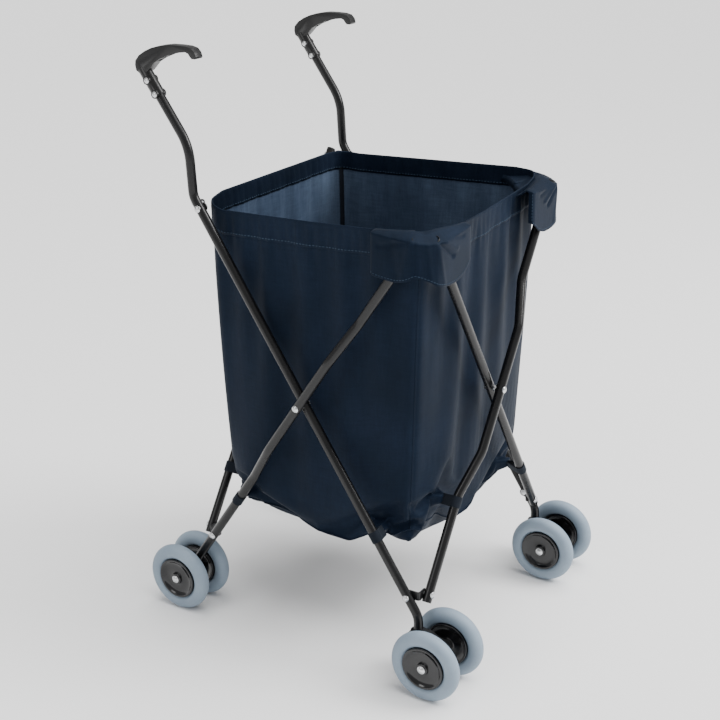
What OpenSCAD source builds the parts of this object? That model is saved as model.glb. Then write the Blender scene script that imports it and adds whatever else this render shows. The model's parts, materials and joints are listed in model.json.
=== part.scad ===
// Folding four-corner shopping trolley: eight crossed tubes, a hung fabric bag,
// two raised hand grips, twin swivel casters in front and twin wheels behind.
// Origin on the ground at the centre, +Z up, casters towards -Y, grips towards +Y.

/* [View] */
// node to build, or all of them

/* [Wheels] */
// wheel diameter
wheel_d = 125; // [100:1:160]
// widest part of the tyre
tyre_w = 26.5; // [18:0.5:36]
// diameter of the dished hub
hub_d = 76; // [50:1:90]
// axle diameter
axle_d = 8; // [6:1:12]
// rear wheels, from the tube to each wheel's middle
rear_half_track = 30.5; // [26:0.5:45]
// front wheels, from the stem to each wheel's middle
front_half_track = 42.5; // [36:0.5:60]
// how far the caster axle stands ahead of its stem
caster_offset = 38.1; // [20:0.1:60]

/* [Frame] */
// tube diameter
tube_d = 16; // [12:1:25]
// tube wall
tube_wall = 1.2; // [0.8:0.1:2.5]
// from the middle to each tube's plane
tube_plane = 228; // [150:1:320]
// from the middle to each corner pivot, along a tube's own plane
pivot_half = 202; // [120:1:280]
// half the height between the lower and the upper pivots
pivot_rise = 304.5; // [200:0.5:400]
// height where each pair of tubes crosses
cross_z = 457; // [350:1:600]
// how far an outer tube is joggled outwards at the crossing
joggle = 20; // [17:0.5:30]
// tube left beyond each end pivot
tube_tail = 14; // [10:1:20]

/* [Handles] */
// height where the handle tube leaves the crossed part
handle_bend_z = 780; // [740:1:820]
// height where the handle tube leans back
handle_lean_z = 863.4; // [820:0.1:920]
// lean of the handle tube's last part
handle_lean = 35.8; // [0:0.1:60]
// length of the leaning part
handle_len = 134; // [60:1:180]
// width of a grip
grip_w = 22; // [16:1:40]

/* [Bag] */
// outside half width at the rim
bag_rim = 208; // [150:1:300]
// outside half width at the bottom
bag_foot = 187; // [120:1:300]
// height of the rim
bag_top_z = 777; // [600:1:850]
// height of the bottom edge
bag_low_z = 233; // [180:1:400]
// fabric thickness as modelled
cloth = 1.6; // [0.8:0.1:4]
// depth of the turned hem
hem = 48; // [20:1:80]

/* [Hidden] */
$fn = 64;

// clearances: turning joints, faces that rest on each other, fabric seams
run = 0.05;
rest = 0.1;
seam = 0.3;

tube_r = tube_d / 2;
axle_r = axle_d / 2;
wheel_r = wheel_d / 2;
hub_r = hub_d / 2;
boss_half = tyre_w / 2;
rivet_r = 3;
head_r = 6;
dome_h = 2.6;

// the crossed part: its lean from vertical, and the length from crossing to pivot
lean = atan(pivot_half / pivot_rise);
reach = norm([pivot_half, pivot_rise]);
low_z = cross_z - pivot_rise;
top_z = cross_z + pivot_rise;

// along a tube from the crossing, where the joggle starts and is complete
joggle_near = 112;
joggle_far = 195;
joggle_r = 80;

// the rear axle lies on its tube's line, the caster stem stands under its tube's end
axle_z = wheel_r;
rear_axle_s = (cross_z - axle_z) / cos(lean);
rear_axle_y = rear_axle_s * sin(lean);
stem_bend_z = 120;
stem_y = -(cross_z - stem_bend_z) * tan(lean);
caster_axle_y = stem_y - caster_offset;
stem_end_z = 96;
collar_h = 4;

handle_bend_y = (handle_bend_z - cross_z) * tan(lean);
handle_lean_y = handle_bend_y + 5.2;

black = [0.09, 0.09, 0.10];
satin = [0.17, 0.17, 0.18];
steel = [0.78, 0.79, 0.80];
rubber = [0.60, 0.66, 0.71];
navy = [0.16, 0.22, 0.31];
lining = [0.45, 0.52, 0.60];

// ---- frames and directions ----

// a point in a side's own plane: t along it, z up, out outwards
function on_side(side, t, z, out) =
  side == "left" ? [-tube_plane - out, t, z] :
  side == "right" ? [tube_plane + out, t, z] :
  side == "front" ? [t, -tube_plane - out, z] :
  [t, tube_plane + out, z];

// the outward direction of a side
function outward(side) = on_side(side, 0, 0, 1) - on_side(side, 0, 0, 0);

// a point on a crossed tube, s below the crossing; way is the side it leans to
function on_tube(side, way, s, out = 0) =
  on_side(side, way * s * sin(lean), cross_z - s * cos(lean), out);

function unit(v) = v / norm(v);

// turns +Z to run from a towards b, starting at a
module along(a, b) {
  d = b - a;
  translate(a)
    rotate([0, acos(d[2] / norm(d)), atan2(d[1], d[0])])
      children();
}

module rod(a, b, r) {
  along(a, b) cylinder(h = norm(b - a), r = r);
}

// the sides of a bent tube, and the steps in each of its bends
tube_sides = 24;
bend_steps = 4;

// the arc that rounds corner p, arriving along d1 and leaving along d2, as [point, tangent]
function arc(p, d1, d2, r) = let (
    turn = acos(d1 * d2),
    n = unit(d2 - d1 * (d1 * d2)),
    c = p - d1 * (r * tan(turn / 2)) + n * r
  ) [for (k = [0:bend_steps]) let (a = turn * k / bend_steps)
    [c - n * (r * cos(a)) + d1 * (r * sin(a)), d1 * cos(a) + n * sin(a)]];

// a path through flat-lying points with each inner corner rounded, as [point, tangent]
function rounded(points, radii) = let (
    last = len(points) - 1,
    dirs = [for (i = [0:last - 1]) unit(points[i + 1] - points[i])]
  ) concat(
    [[points[0], dirs[0]]],
    [for (i = [1:last - 1]) each arc(points[i], dirs[i - 1], dirs[i], radii[i - 1])],
    [[points[last], dirs[last - 1]]]
  );

function ring(at, normal, r) = [for (k = [0:tube_sides - 1]) let (a = 360 * k / tube_sides)
  at[0] + r * (cos(a) * normal + sin(a) * cross(at[1], normal))];

// a bent tube along the points, which lie in one plane, with its children drilled out
module pipe(points, radii) {
  path = rounded(points, radii);
  normal = unit(cross(points[1] - points[0], points[2] - points[1]));
  n = tube_sides;
  m = len(path);
  skin = function (first, j, k) first + j * n + k % n;
  bore = m * n;
  difference() {
    polyhedron(
      points = concat(
        [for (at = path) each ring(at, normal, tube_r)],
        [for (at = path) each ring(at, normal, tube_r - tube_wall)]
      ),
      faces = concat(
        [for (j = [0:m - 2], k = [0:n - 1]) each [
          [skin(0, j, k), skin(0, j + 1, k), skin(0, j, k + 1)],
          [skin(0, j, k + 1), skin(0, j + 1, k), skin(0, j + 1, k + 1)],
          [skin(bore, j, k), skin(bore, j, k + 1), skin(bore, j + 1, k)],
          [skin(bore, j, k + 1), skin(bore, j + 1, k + 1), skin(bore, j + 1, k)]
        ]],
        [for (k = [0:n - 1]) each [
          [skin(0, 0, k), skin(0, 0, k + 1), skin(bore, 0, k)],
          [skin(bore, 0, k), skin(0, 0, k + 1), skin(bore, 0, k + 1)],
          [skin(0, m - 1, k), skin(bore, m - 1, k), skin(0, m - 1, k + 1)],
          [skin(bore, m - 1, k), skin(bore, m - 1, k + 1), skin(0, m - 1, k + 1)]
        ]]
      )
    );
    children();
  }
}

// a straight tube from a to b, with its children drilled out
module straight(a, b) {
  d = unit(b - a);
  difference() {
    rod(a, b, tube_r);
    rod(a - d, b + d, tube_r - tube_wall);
    children();
  }
}

// a hole of radius r straight through a tube at p, along the side's outward direction
module cross_hole(p, side, r) {
  o = outward(side) * (tube_r + 2);
  rod(p - o, p + o, r);
}

// ---- tubes ----

function outer_path(side, way, low_s) = [
  on_tube(side, way, -reach - tube_tail),
  on_tube(side, way, -joggle_far),
  on_tube(side, way, -joggle_near, joggle),
  on_tube(side, way, joggle_near, joggle),
  on_tube(side, way, joggle_far),
  on_tube(side, way, low_s)
];
outer_radii = [joggle_r, joggle_r, joggle_r, joggle_r];

function handle_path(side) = [
  on_side(side, stem_y, stem_end_z, 0),
  on_side(side, stem_y, stem_bend_z, 0),
  on_side(side, handle_bend_y, handle_bend_z, 0),
  on_side(side, handle_lean_y, handle_lean_z, 0),
  on_side(side, handle_lean_y + handle_len * sin(handle_lean),
    handle_lean_z + handle_len * cos(handle_lean), 0)
];
handle_radii = [40, 35, 90];

// the grip's two rivets, measured along the leaning part
function grip_rivet(side, s) = on_side(side,
  handle_lean_y + s * sin(handle_lean), handle_lean_z + s * cos(handle_lean), 0);
grip_rivet_low = 98;
grip_rivet_high = 124;

module joggled_tube(side, way, low_s, axle = false) {
  color(satin) pipe(outer_path(side, way, low_s), outer_radii) {
    for (s = [-reach, reach]) cross_hole(on_tube(side, way, s), side, rivet_r + run);
    cross_hole(on_tube(side, way, 0, joggle), side, rivet_r + run);
    if (axle) cross_hole(on_tube(side, way, rear_axle_s), side, axle_r + run);
  }
}

module straight_tube(side, way) {
  top = on_tube(side, way, -reach - tube_tail);
  low = on_tube(side, way, reach + tube_tail);
  color(satin) straight(top, low) {
    for (s = [-reach, 0, reach]) cross_hole(on_tube(side, way, s), side, rivet_r + run);
  }
}

module handle_tube(side) {
  color(satin) pipe(handle_path(side), handle_radii) {
    for (s = [-reach, 0, reach]) cross_hole(on_tube(side, -1, s), side, rivet_r + run);
    for (s = [grip_rivet_low, grip_rivet_high]) cross_hole(grip_rivet(side, s), side, rivet_r + run);
  }
}

module tube_left_handle() handle_tube("left");
module tube_right_handle() handle_tube("right");
module tube_left_axle() joggled_tube("left", 1, rear_axle_s + 12, true);
module tube_right_axle() joggled_tube("right", 1, rear_axle_s + 12, true);
module tube_front_left() joggled_tube("front", -1, reach + tube_tail);
module tube_front_right() straight_tube("front", 1);
module tube_rear_left() joggled_tube("rear", -1, reach + tube_tail);
module tube_rear_right() straight_tube("rear", 1);

// ---- rivets ----

// a domed head standing on z = 0, cut off at depth below it
module dome_head(r, h, depth) {
  ball = (r * r + h * h) / (2 * h);
  intersection() {
    translate([0, 0, h - ball]) sphere(ball);
    translate([0, 0, -depth]) cylinder(h = depth + h, r = r);
  }
}

// a rivet through a tube at p: its outer head is saddled to the tube, and its inner head
// lies at depth behind the tube's centre
module rivet(side, p, dir, depth) {
  o = outward(side);
  difference() {
    union() {
      rod(p - o * depth, p + o * tube_r, rivet_r);
      along(p + o * tube_r, p + o * (tube_r + 1)) dome_head(head_r, dome_h, 3);
      rod(p - o * (depth + 1), p - o * depth, head_r - 0.5);
      along(p - o * (depth + 0.9), p - o * (depth + 2)) dome_head(head_r - 0.5, 1.6, 0.2);
    }
    difference() {
      rod(p - dir * 20, p + dir * 20, tube_r + run);
      rod(p - o * 20, p + o * 20, rivet_r);
    }
  }
}

module spacer(side, p) {
  o = outward(side);
  difference() {
    rod(p - o * (joggle - tube_r - rest), p - o * (tube_r + rest), head_r);
    rod(p - o * joggle, p, rivet_r + run);
  }
}

bracket_t = 3;
leg_face = tube_plane - tube_r - rest;
end_depth = tube_r + rest + bracket_t + rest;
cross_depth = joggle + tube_r + rest;

module end_rivets(side, way) {
  for (s = [-reach, reach])
    rivet(side, on_tube(side, way, s), unit(on_tube(side, way, 1) - on_tube(side, way, 0)), end_depth);
}

module cross_rivet(side, way) {
  p = on_tube(side, way, 0, joggle);
  rivet(side, p, unit(on_tube(side, way, 1) - on_tube(side, way, 0)), cross_depth);
  spacer(side, p);
}

module grip_rivets(side) {
  for (s = [grip_rivet_low, grip_rivet_high]) {
    p = grip_rivet(side, s);
    o = outward(side);
    rod(p - o * (grip_w / 2 + rest), p + o * (grip_w / 2 + rest), rivet_r);
    for (k = [-1, 1])
      along(p + o * k * (grip_w / 2 + rest), p + o * k * grip_w) dome_head(head_r - 1, 2, 0);
  }
}

module rivets_left_handle() color(steel) { end_rivets("left", -1); grip_rivets("left"); }
module rivets_right_handle() color(steel) { end_rivets("right", -1); grip_rivets("right"); }
module rivets_left_axle() color(steel) { end_rivets("left", 1); cross_rivet("left", 1); }
module rivets_right_axle() color(steel) { end_rivets("right", 1); cross_rivet("right", 1); }
module rivets_front_left() color(steel) { end_rivets("front", -1); cross_rivet("front", -1); }
module rivets_front_right() color(steel) end_rivets("front", 1);
module rivets_rear_left() color(steel) { end_rivets("rear", -1); cross_rivet("rear", -1); }
module rivets_rear_right() color(steel) end_rivets("rear", 1);

// ---- corner brackets ----

bracket_h = 15;
bracket_tip = 9;

// an angle bracket inside a corner; kx and ky are the corner's signs
module bracket(kx, ky, z) {
  inner = leg_face - bracket_t;
  legs = pivot_half - bracket_tip;
  color(black) difference() {
    union() {
      translate([0, 0, z - bracket_h / 2]) linear_extrude(bracket_h) scale([kx, ky])
        difference() {
          offset(r = 5) offset(delta = -5) translate([pivot_half, pivot_half])
            square(leg_face - pivot_half);
          offset(r = 2) offset(delta = -2) translate([pivot_half - 20, pivot_half - 20])
            square(inner - pivot_half + 20);
          translate([pivot_half - 1, pivot_half - 1]) square(7);
        }
      for (side_x = [0, 1]) {
        a = side_x == 1 ? [kx * inner, ky * pivot_half, z] : [kx * pivot_half, ky * inner, z];
        b = side_x == 1 ? [kx * leg_face, ky * pivot_half, z] : [kx * pivot_half, ky * leg_face, z];
        rod(a, b, bracket_h / 2);
        span = leg_face - 5 - pivot_half;
        mid = pivot_half + span / 2;
        c = side_x == 1 ? [kx * (inner + leg_face) / 2, ky * mid, z] : [kx * mid, ky * (inner + leg_face) / 2, z];
        translate(c) cube([side_x == 1 ? bracket_t : span, side_x == 1 ? span : bracket_t, bracket_h], center = true);
      }
    }
    rod([kx * (inner - 5), ky * pivot_half, z], [kx * (leg_face + 5), ky * pivot_half, z], rivet_r + run);
    rod([kx * pivot_half, ky * (inner - 5), z], [kx * pivot_half, ky * (leg_face + 5), z], rivet_r + run);
  }
}

module bracket_top_fl() bracket(-1, -1, top_z);
module bracket_top_fr() bracket(1, -1, top_z);
module bracket_top_rl() bracket(-1, 1, top_z);
module bracket_top_rr() bracket(1, 1, top_z);
module bracket_low_fl() bracket(-1, -1, low_z);
module bracket_low_fr() bracket(1, -1, low_z);
module bracket_low_rl() bracket(-1, 1, low_z);
module bracket_low_rr() bracket(1, 1, low_z);

// ---- grips ----

// side outline of a grip, as [y, z]: a sleeve that leans back, then a blade over the top
// that comes forward to a turned-down tip
grip_outline = [
  [303, 972], [314, 978], [316, 986], [315, 994], [307, 1003], [294, 1011], [280, 1017],
  [264, 1021.5], [245, 1024.5], [225, 1025], [209, 1024.5], [198, 1022], [192, 1016],
  [189.5, 1009], [191.5, 1006], [199, 1006], [203, 1010], [205.5, 1013.5], [211, 1015.5],
  [223, 1014], [243, 1009], [262, 1001.5], [276, 993.5], [284, 985], [290, 979]
];
blade_w = 17;
sleeve_r = 10.5;
sleeve_low = 94.5;
sleeve_high = 146;

module grip_shape() {
  offset(r = 2) offset(delta = -2) polygon(grip_outline);
}

// the hollow under the blade, open at its lower face
module grip_hollow() {
  intersection() {
    translate([0, -4]) offset(delta = -1) grip_shape();
    translate([209, 990]) square([64, 40]);
  }
}

module grip(side) {
  k = side == "left" ? -1 : 1;
  color(black) difference() {
    union() {
      translate([k * tube_plane - blade_w / 2, 0, 0])
        rotate([90, 0, 90]) linear_extrude(blade_w) grip_shape();
      rod(grip_rivet(side, sleeve_low), grip_rivet(side, sleeve_high), sleeve_r);
      for (s = [grip_rivet_low, grip_rivet_high]) {
        p = grip_rivet(side, s);
        o = outward(side) * grip_w / 2;
        rod(p - o, p + o, head_r + 1);
      }
    }
    difference() {
      translate([k * tube_plane - blade_w / 2 + 2.5, 0, 0])
        rotate([90, 0, 90]) linear_extrude(blade_w - 5) grip_hollow();
      for (y = [216:12:270])
        translate([k * tube_plane, y, 1000]) cube([grip_w, 1.6, 60], center = true);
    }
    rod(grip_rivet(side, 60), grip_rivet(side, handle_len + rest), tube_r + rest);
    for (s = [grip_rivet_low, grip_rivet_high]) {
      p = grip_rivet(side, s);
      o = outward(side) * grip_w;
      rod(p - o, p + o, rivet_r + run);
    }
  }
}

module grip_left() grip("left");
module grip_right() grip("right");

// ---- casters ----

stem_pin_r = 5;
stem_pin_top = 105;

// the plug and flange at a handle tube's foot, bored for the caster's pin
module collar(side) {
  color(black) translate(on_side(side, stem_y, 0, 0)) difference() {
    union() {
      translate([0, 0, stem_end_z - rest - collar_h]) cylinder(h = collar_h, r = 13);
      translate([0, 0, stem_end_z - collar_h]) cylinder(h = 11 + collar_h, r = tube_r - tube_wall - run);
    }
    translate([0, 0, stem_end_z - 10]) cylinder(h = 40, r = stem_pin_r + run);
  }
}

module collar_left() collar("left");
module collar_right() collar("right");

caster_half_w = 17;
barrel_r = 11;

// the moulded body between a pair of front wheels, with the pin it turns on
module caster(side) {
  x = on_side(side, 0, 0, 0)[0];
  roof = stem_end_z - collar_h - 2 * rest;
  color(black) difference() {
    union() {
      translate([x - caster_half_w, 0, 0]) rotate([90, 0, 90]) linear_extrude(2 * caster_half_w)
        hull() {
          translate([caster_axle_y, axle_z]) circle(17);
          translate([stem_y - 14, roof - 14]) square([28, 14]);
          translate([stem_y + 4, axle_z + 4]) circle(10);
        }
      rod([x - front_half_track + boss_half + rest, caster_axle_y, axle_z],
        [x + front_half_track - boss_half - rest, caster_axle_y, axle_z], barrel_r);
      rod([x, stem_y, roof - 1], [x, stem_y, stem_pin_top], stem_pin_r);
    }
    rod([x - 60, caster_axle_y, axle_z], [x + 60, caster_axle_y, axle_z], axle_r + run);
  }
}

module caster_left() caster("left");
module caster_right() caster("right");

// ---- axles and wheels ----

nut_r = 7;
nut_h = 4.5;

// an axle across x, with a domed end beyond each wheel and, if asked, spacers by the tube
module axle(x, y, half_track, spacers) {
  end = half_track + boss_half + rest;
  color(steel) {
    rod([x - end, y, axle_z], [x + end, y, axle_z], axle_r);
    for (k = [-1, 1]) {
      along([x + k * end, y, axle_z], [x + k * (end + 1), y, axle_z]) {
        cylinder(h = nut_h - 2.5, r = nut_r);
        translate([0, 0, nut_h - 2.6]) dome_head(nut_r - 1, 2.6, 0.5);
      }
      if (spacers)
        rod([x + k * (tube_r + rest), y, axle_z],
          [x + k * (half_track - boss_half - rest), y, axle_z], axle_r + 3.5);
    }
  }
}

module axle_front_left() axle(-tube_plane, caster_axle_y, front_half_track, false);
module axle_front_right() axle(tube_plane, caster_axle_y, front_half_track, false);
module axle_rear_left() axle(-tube_plane, rear_axle_y, rear_half_track, true);
module axle_rear_right() axle(tube_plane, rear_axle_y, rear_half_track, true);

seat_half = 11.5;

module at_wheel(x, y) {
  translate([x, y, axle_z]) rotate([0, 90, 0]) children();
}

module tyre(x, y) {
  color(rubber) at_wheel(x, y) rotate_extrude() difference() {
    union() {
      translate([wheel_r - tyre_w / 2, 0]) circle(tyre_w / 2);
      translate([hub_r, -seat_half]) square([wheel_r - tyre_w / 2 - hub_r, 2 * seat_half]);
    }
    translate([0, -tyre_w]) square([hub_r + run, 2 * tyre_w]);
  }
}

// half of the hub's section, from the bore outwards, as [radius, half thickness]
hub_half = [
  [axle_r + run, boss_half], [12, boss_half], [13, boss_half - 1], [14, 7], [18, 5.5],
  [24, 5.8], [29, 7.2], [32.5, 9.6], [34, seat_half], [hub_r, seat_half]
];

module hub(x, y) {
  section = concat(hub_half, [for (i = [len(hub_half) - 1:-1:0]) [hub_half[i][0], -hub_half[i][1]]]);
  color(black) at_wheel(x, y) rotate_extrude() polygon(section);
}

module tyre_fl_out() tyre(-tube_plane - front_half_track, caster_axle_y);
module tyre_fl_in() tyre(-tube_plane + front_half_track, caster_axle_y);
module tyre_fr_out() tyre(tube_plane + front_half_track, caster_axle_y);
module tyre_fr_in() tyre(tube_plane - front_half_track, caster_axle_y);
module tyre_rl_out() tyre(-tube_plane - rear_half_track, rear_axle_y);
module tyre_rl_in() tyre(-tube_plane + rear_half_track, rear_axle_y);
module tyre_rr_out() tyre(tube_plane + rear_half_track, rear_axle_y);
module tyre_rr_in() tyre(tube_plane - rear_half_track, rear_axle_y);
module hub_fl_out() hub(-tube_plane - front_half_track, caster_axle_y);
module hub_fl_in() hub(-tube_plane + front_half_track, caster_axle_y);
module hub_fr_out() hub(tube_plane + front_half_track, caster_axle_y);
module hub_fr_in() hub(tube_plane - front_half_track, caster_axle_y);
module hub_rl_out() hub(-tube_plane - rear_half_track, rear_axle_y);
module hub_rl_in() hub(-tube_plane + rear_half_track, rear_axle_y);
module hub_rr_out() hub(tube_plane + rear_half_track, rear_axle_y);
module hub_rr_in() hub(tube_plane - rear_half_track, rear_axle_y);

// ---- bag ----

bag_slope = (bag_rim - bag_foot) / (bag_top_z - bag_low_z);

// outside half width of the bag at height z
function bag_half(z) = bag_foot + (z - bag_low_z) * bag_slope;

// a square frustum with half widths a at z0 and b at z1
module frustum(a, b, z0, z1) {
  polyhedron(
    points = [
      [-a, -a, z0], [a, -a, z0], [a, a, z0], [-a, a, z0],
      [-b, -b, z1], [b, -b, z1], [b, b, z1], [-b, b, z1]
    ],
    faces = [
      [0, 1, 2, 3], [7, 6, 5, 4], [0, 4, 5, 1], [1, 5, 6, 2], [2, 6, 7, 3], [3, 7, 4, 0]
    ]
  );
}

// the bag's four walls between two heights, t thick, their outside grown by out
module bag_walls(z0, z1, t, out) {
  difference() {
    frustum(bag_half(z0) + out, bag_half(z1) + out, z0, z1);
    frustum(bag_half(z0 - 1) + out - t, bag_half(z1 + 1) + out - t, z0 - 1, z1 + 1);
  }
}

// one wall: the quarter of the bag that faces the angle turn from -Y
module bag_wall(turn) {
  color(navy) intersection() {
    union() {
      bag_walls(bag_low_z, bag_top_z - hem, cloth, 0);
      bag_walls(bag_top_z - hem, bag_top_z, cloth + 1, 0.5);
    }
    rotate([0, 0, turn]) translate([0, 0, bag_low_z - 5])
      linear_extrude(bag_top_z - bag_low_z + 10)
        polygon([[0, -seam], [300 - seam, -300], [-300 + seam, -300]]);
  }
}

module bag_front() bag_wall(0);
module bag_right() bag_wall(90);
module bag_rear() bag_wall(180);
module bag_left() bag_wall(270);

base_t = 4;
base_z = bag_low_z + 2;

module bag_base() {
  half = bag_foot - cloth - seam;
  color(lining) translate([-half, -half, base_z]) cube([2 * half, 2 * half, base_t]);
}

// the pocket of a front corner, which hides the tubes' upper ends; outside faces lie at
// pocket_out, and each leg is a flap with a rounded lower edge
pocket_out = 242.5;
pocket_end = 132;
pocket_corner = 12;
flap = [
  [pocket_end, 712], [150, 703], [185, 698], [208, 702], [pocket_out - pocket_corner, 716],
  [pocket_out - pocket_corner, 784], [pocket_end, 784]
];

module pocket_flap() {
  translate([0, -pocket_out + cloth, 0]) rotate([90, 0, 0])
    linear_extrude(cloth) polygon(flap);
}

module pocket(kx) {
  gap = bag_rim + 1.5;
  color(navy) scale([kx, 1, 1]) union() {
    pocket_flap();
    rotate([0, 0, 90]) scale([-1, 1, 1]) rotate([0, 0, 0]) pocket_flap();
    intersection() {
      translate([pocket_out - pocket_corner, -pocket_out + pocket_corner, 716])
        difference() {
          cylinder(h = 68, r = pocket_corner);
          translate([0, 0, -1]) cylinder(h = 70, r = pocket_corner - cloth);
        }
      translate([pocket_out - pocket_corner, -pocket_out, 716])
        cube([pocket_corner, pocket_corner, 68]);
    }
    difference() {
      translate([0, 0, 784 - cloth]) linear_extrude(cloth) difference() {
        offset(r = pocket_corner - 0.5) offset(delta = -pocket_corner + 0.5)
          translate([pocket_end, -pocket_out + 0.5])
            square([pocket_out - 0.5 - pocket_end, pocket_out - 0.5 - pocket_end]);
        translate([pocket_end - 60, -gap]) square([gap - pocket_end + 60, gap]);
      }
    }
  }
}

module pocket_fl() pocket(-1);
module pocket_fr() pocket(1);

// ---- all nodes ----

tube_left_handle();
tube_left_axle();
tube_right_handle();
tube_right_axle();
tube_front_left();
tube_front_right();
tube_rear_left();
tube_rear_right();
rivets_left_handle();
rivets_left_axle();
rivets_right_handle();
rivets_right_axle();
rivets_front_left();
rivets_front_right();
rivets_rear_left();
rivets_rear_right();
bracket_top_fl();
bracket_top_fr();
bracket_top_rl();
bracket_top_rr();
bracket_low_fl();
bracket_low_fr();
bracket_low_rl();
bracket_low_rr();
grip_left();
grip_right();
collar_left();
collar_right();
caster_left();
caster_right();
axle_front_left();
axle_front_right();
axle_rear_left();
axle_rear_right();
tyre_fl_out();
tyre_fl_in();
tyre_fr_out();
tyre_fr_in();
tyre_rl_out();
tyre_rl_in();
tyre_rr_out();
tyre_rr_in();
hub_fl_out();
hub_fl_in();
hub_fr_out();
hub_fr_in();
hub_rl_out();
hub_rl_in();
hub_rr_out();
hub_rr_in();
bag_left();
bag_right();
bag_front();
bag_rear();
bag_base();
pocket_fl();
pocket_fr();
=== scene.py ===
"""Folding shopping trolley: crossed black tubes, hung navy bag, raised grips, twin wheels."""
import json
import math
import bmesh
import bpy
import numpy as np
from mathutils import Matrix, Vector

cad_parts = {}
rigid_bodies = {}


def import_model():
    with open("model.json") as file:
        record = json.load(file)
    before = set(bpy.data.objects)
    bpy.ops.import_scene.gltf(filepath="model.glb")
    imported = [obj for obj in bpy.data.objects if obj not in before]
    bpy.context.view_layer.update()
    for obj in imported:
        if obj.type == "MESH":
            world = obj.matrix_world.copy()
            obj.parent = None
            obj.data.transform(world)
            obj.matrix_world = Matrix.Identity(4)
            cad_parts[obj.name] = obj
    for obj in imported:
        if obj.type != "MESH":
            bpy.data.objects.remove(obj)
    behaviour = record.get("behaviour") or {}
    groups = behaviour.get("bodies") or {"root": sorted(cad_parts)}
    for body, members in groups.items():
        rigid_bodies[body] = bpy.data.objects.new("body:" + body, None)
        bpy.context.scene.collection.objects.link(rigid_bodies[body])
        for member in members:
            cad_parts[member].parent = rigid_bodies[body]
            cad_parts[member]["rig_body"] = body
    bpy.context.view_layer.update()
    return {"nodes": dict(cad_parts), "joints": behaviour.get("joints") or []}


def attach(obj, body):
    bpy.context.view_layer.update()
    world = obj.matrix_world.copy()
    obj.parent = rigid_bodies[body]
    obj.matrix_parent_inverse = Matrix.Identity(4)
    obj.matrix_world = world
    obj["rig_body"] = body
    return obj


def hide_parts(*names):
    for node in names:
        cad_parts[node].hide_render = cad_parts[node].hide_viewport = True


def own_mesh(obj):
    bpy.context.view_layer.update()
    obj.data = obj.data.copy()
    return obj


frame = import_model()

# ---- sizes, from the frame ----

joints = {j["name"]: j for j in frame["joints"]}


def joint_at(name):
    return Vector(joints[name]["pos_m"])


MM = 0.001
PLANE = -joint_at("fold").x          # from the middle to each tube's plane
PIVOT = -joint_at("fold").y          # from the middle to each corner pivot
TOP_Z = joint_at("fold").z           # height of the upper pivots
LOW_Z = joint_at("left_rear_low").z  # height of the lower pivots
CROSS_Z = (TOP_Z + LOW_Z) / 2
JOGGLE = -joint_at("left_cross").x - PLANE
LEAN = math.atan2(PIVOT, (TOP_Z - LOW_Z) / 2)
REACH = math.hypot(PIVOT, (TOP_Z - LOW_Z) / 2)
TUBE_R = 8 * MM
WALL = 1.2 * MM
TAIL = 14 * MM
AXLE_Z = joint_at("spin_rl_out").z
WHEEL_R = AXLE_Z
STEM_Y = joint_at("swivel_left").y
HUB_R = 38 * MM
TYRE_W = 26.5 * MM

OUT = {
    "left": Vector((-1, 0, 0)),
    "right": Vector((1, 0, 0)),
    "front": Vector((0, -1, 0)),
    "rear": Vector((0, 1, 0)),
}
ALONG = {
    "left": Vector((0, 1, 0)),
    "right": Vector((0, 1, 0)),
    "front": Vector((1, 0, 0)),
    "rear": Vector((1, 0, 0)),
}
UP = Vector((0, 0, 1))


def on_side(side, t, z, out=0.0):
    """A point in a side's tube plane: t along it, out outwards."""
    return OUT[side] * (PLANE + out) + ALONG[side] * t + UP * z


def on_tube(side, way, s, out=0.0):
    """A point on a crossed tube, s below the crossing."""
    return on_side(side, way * s * math.sin(LEAN), CROSS_Z - s * math.cos(LEAN), out)


# ---- materials ----


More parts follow.
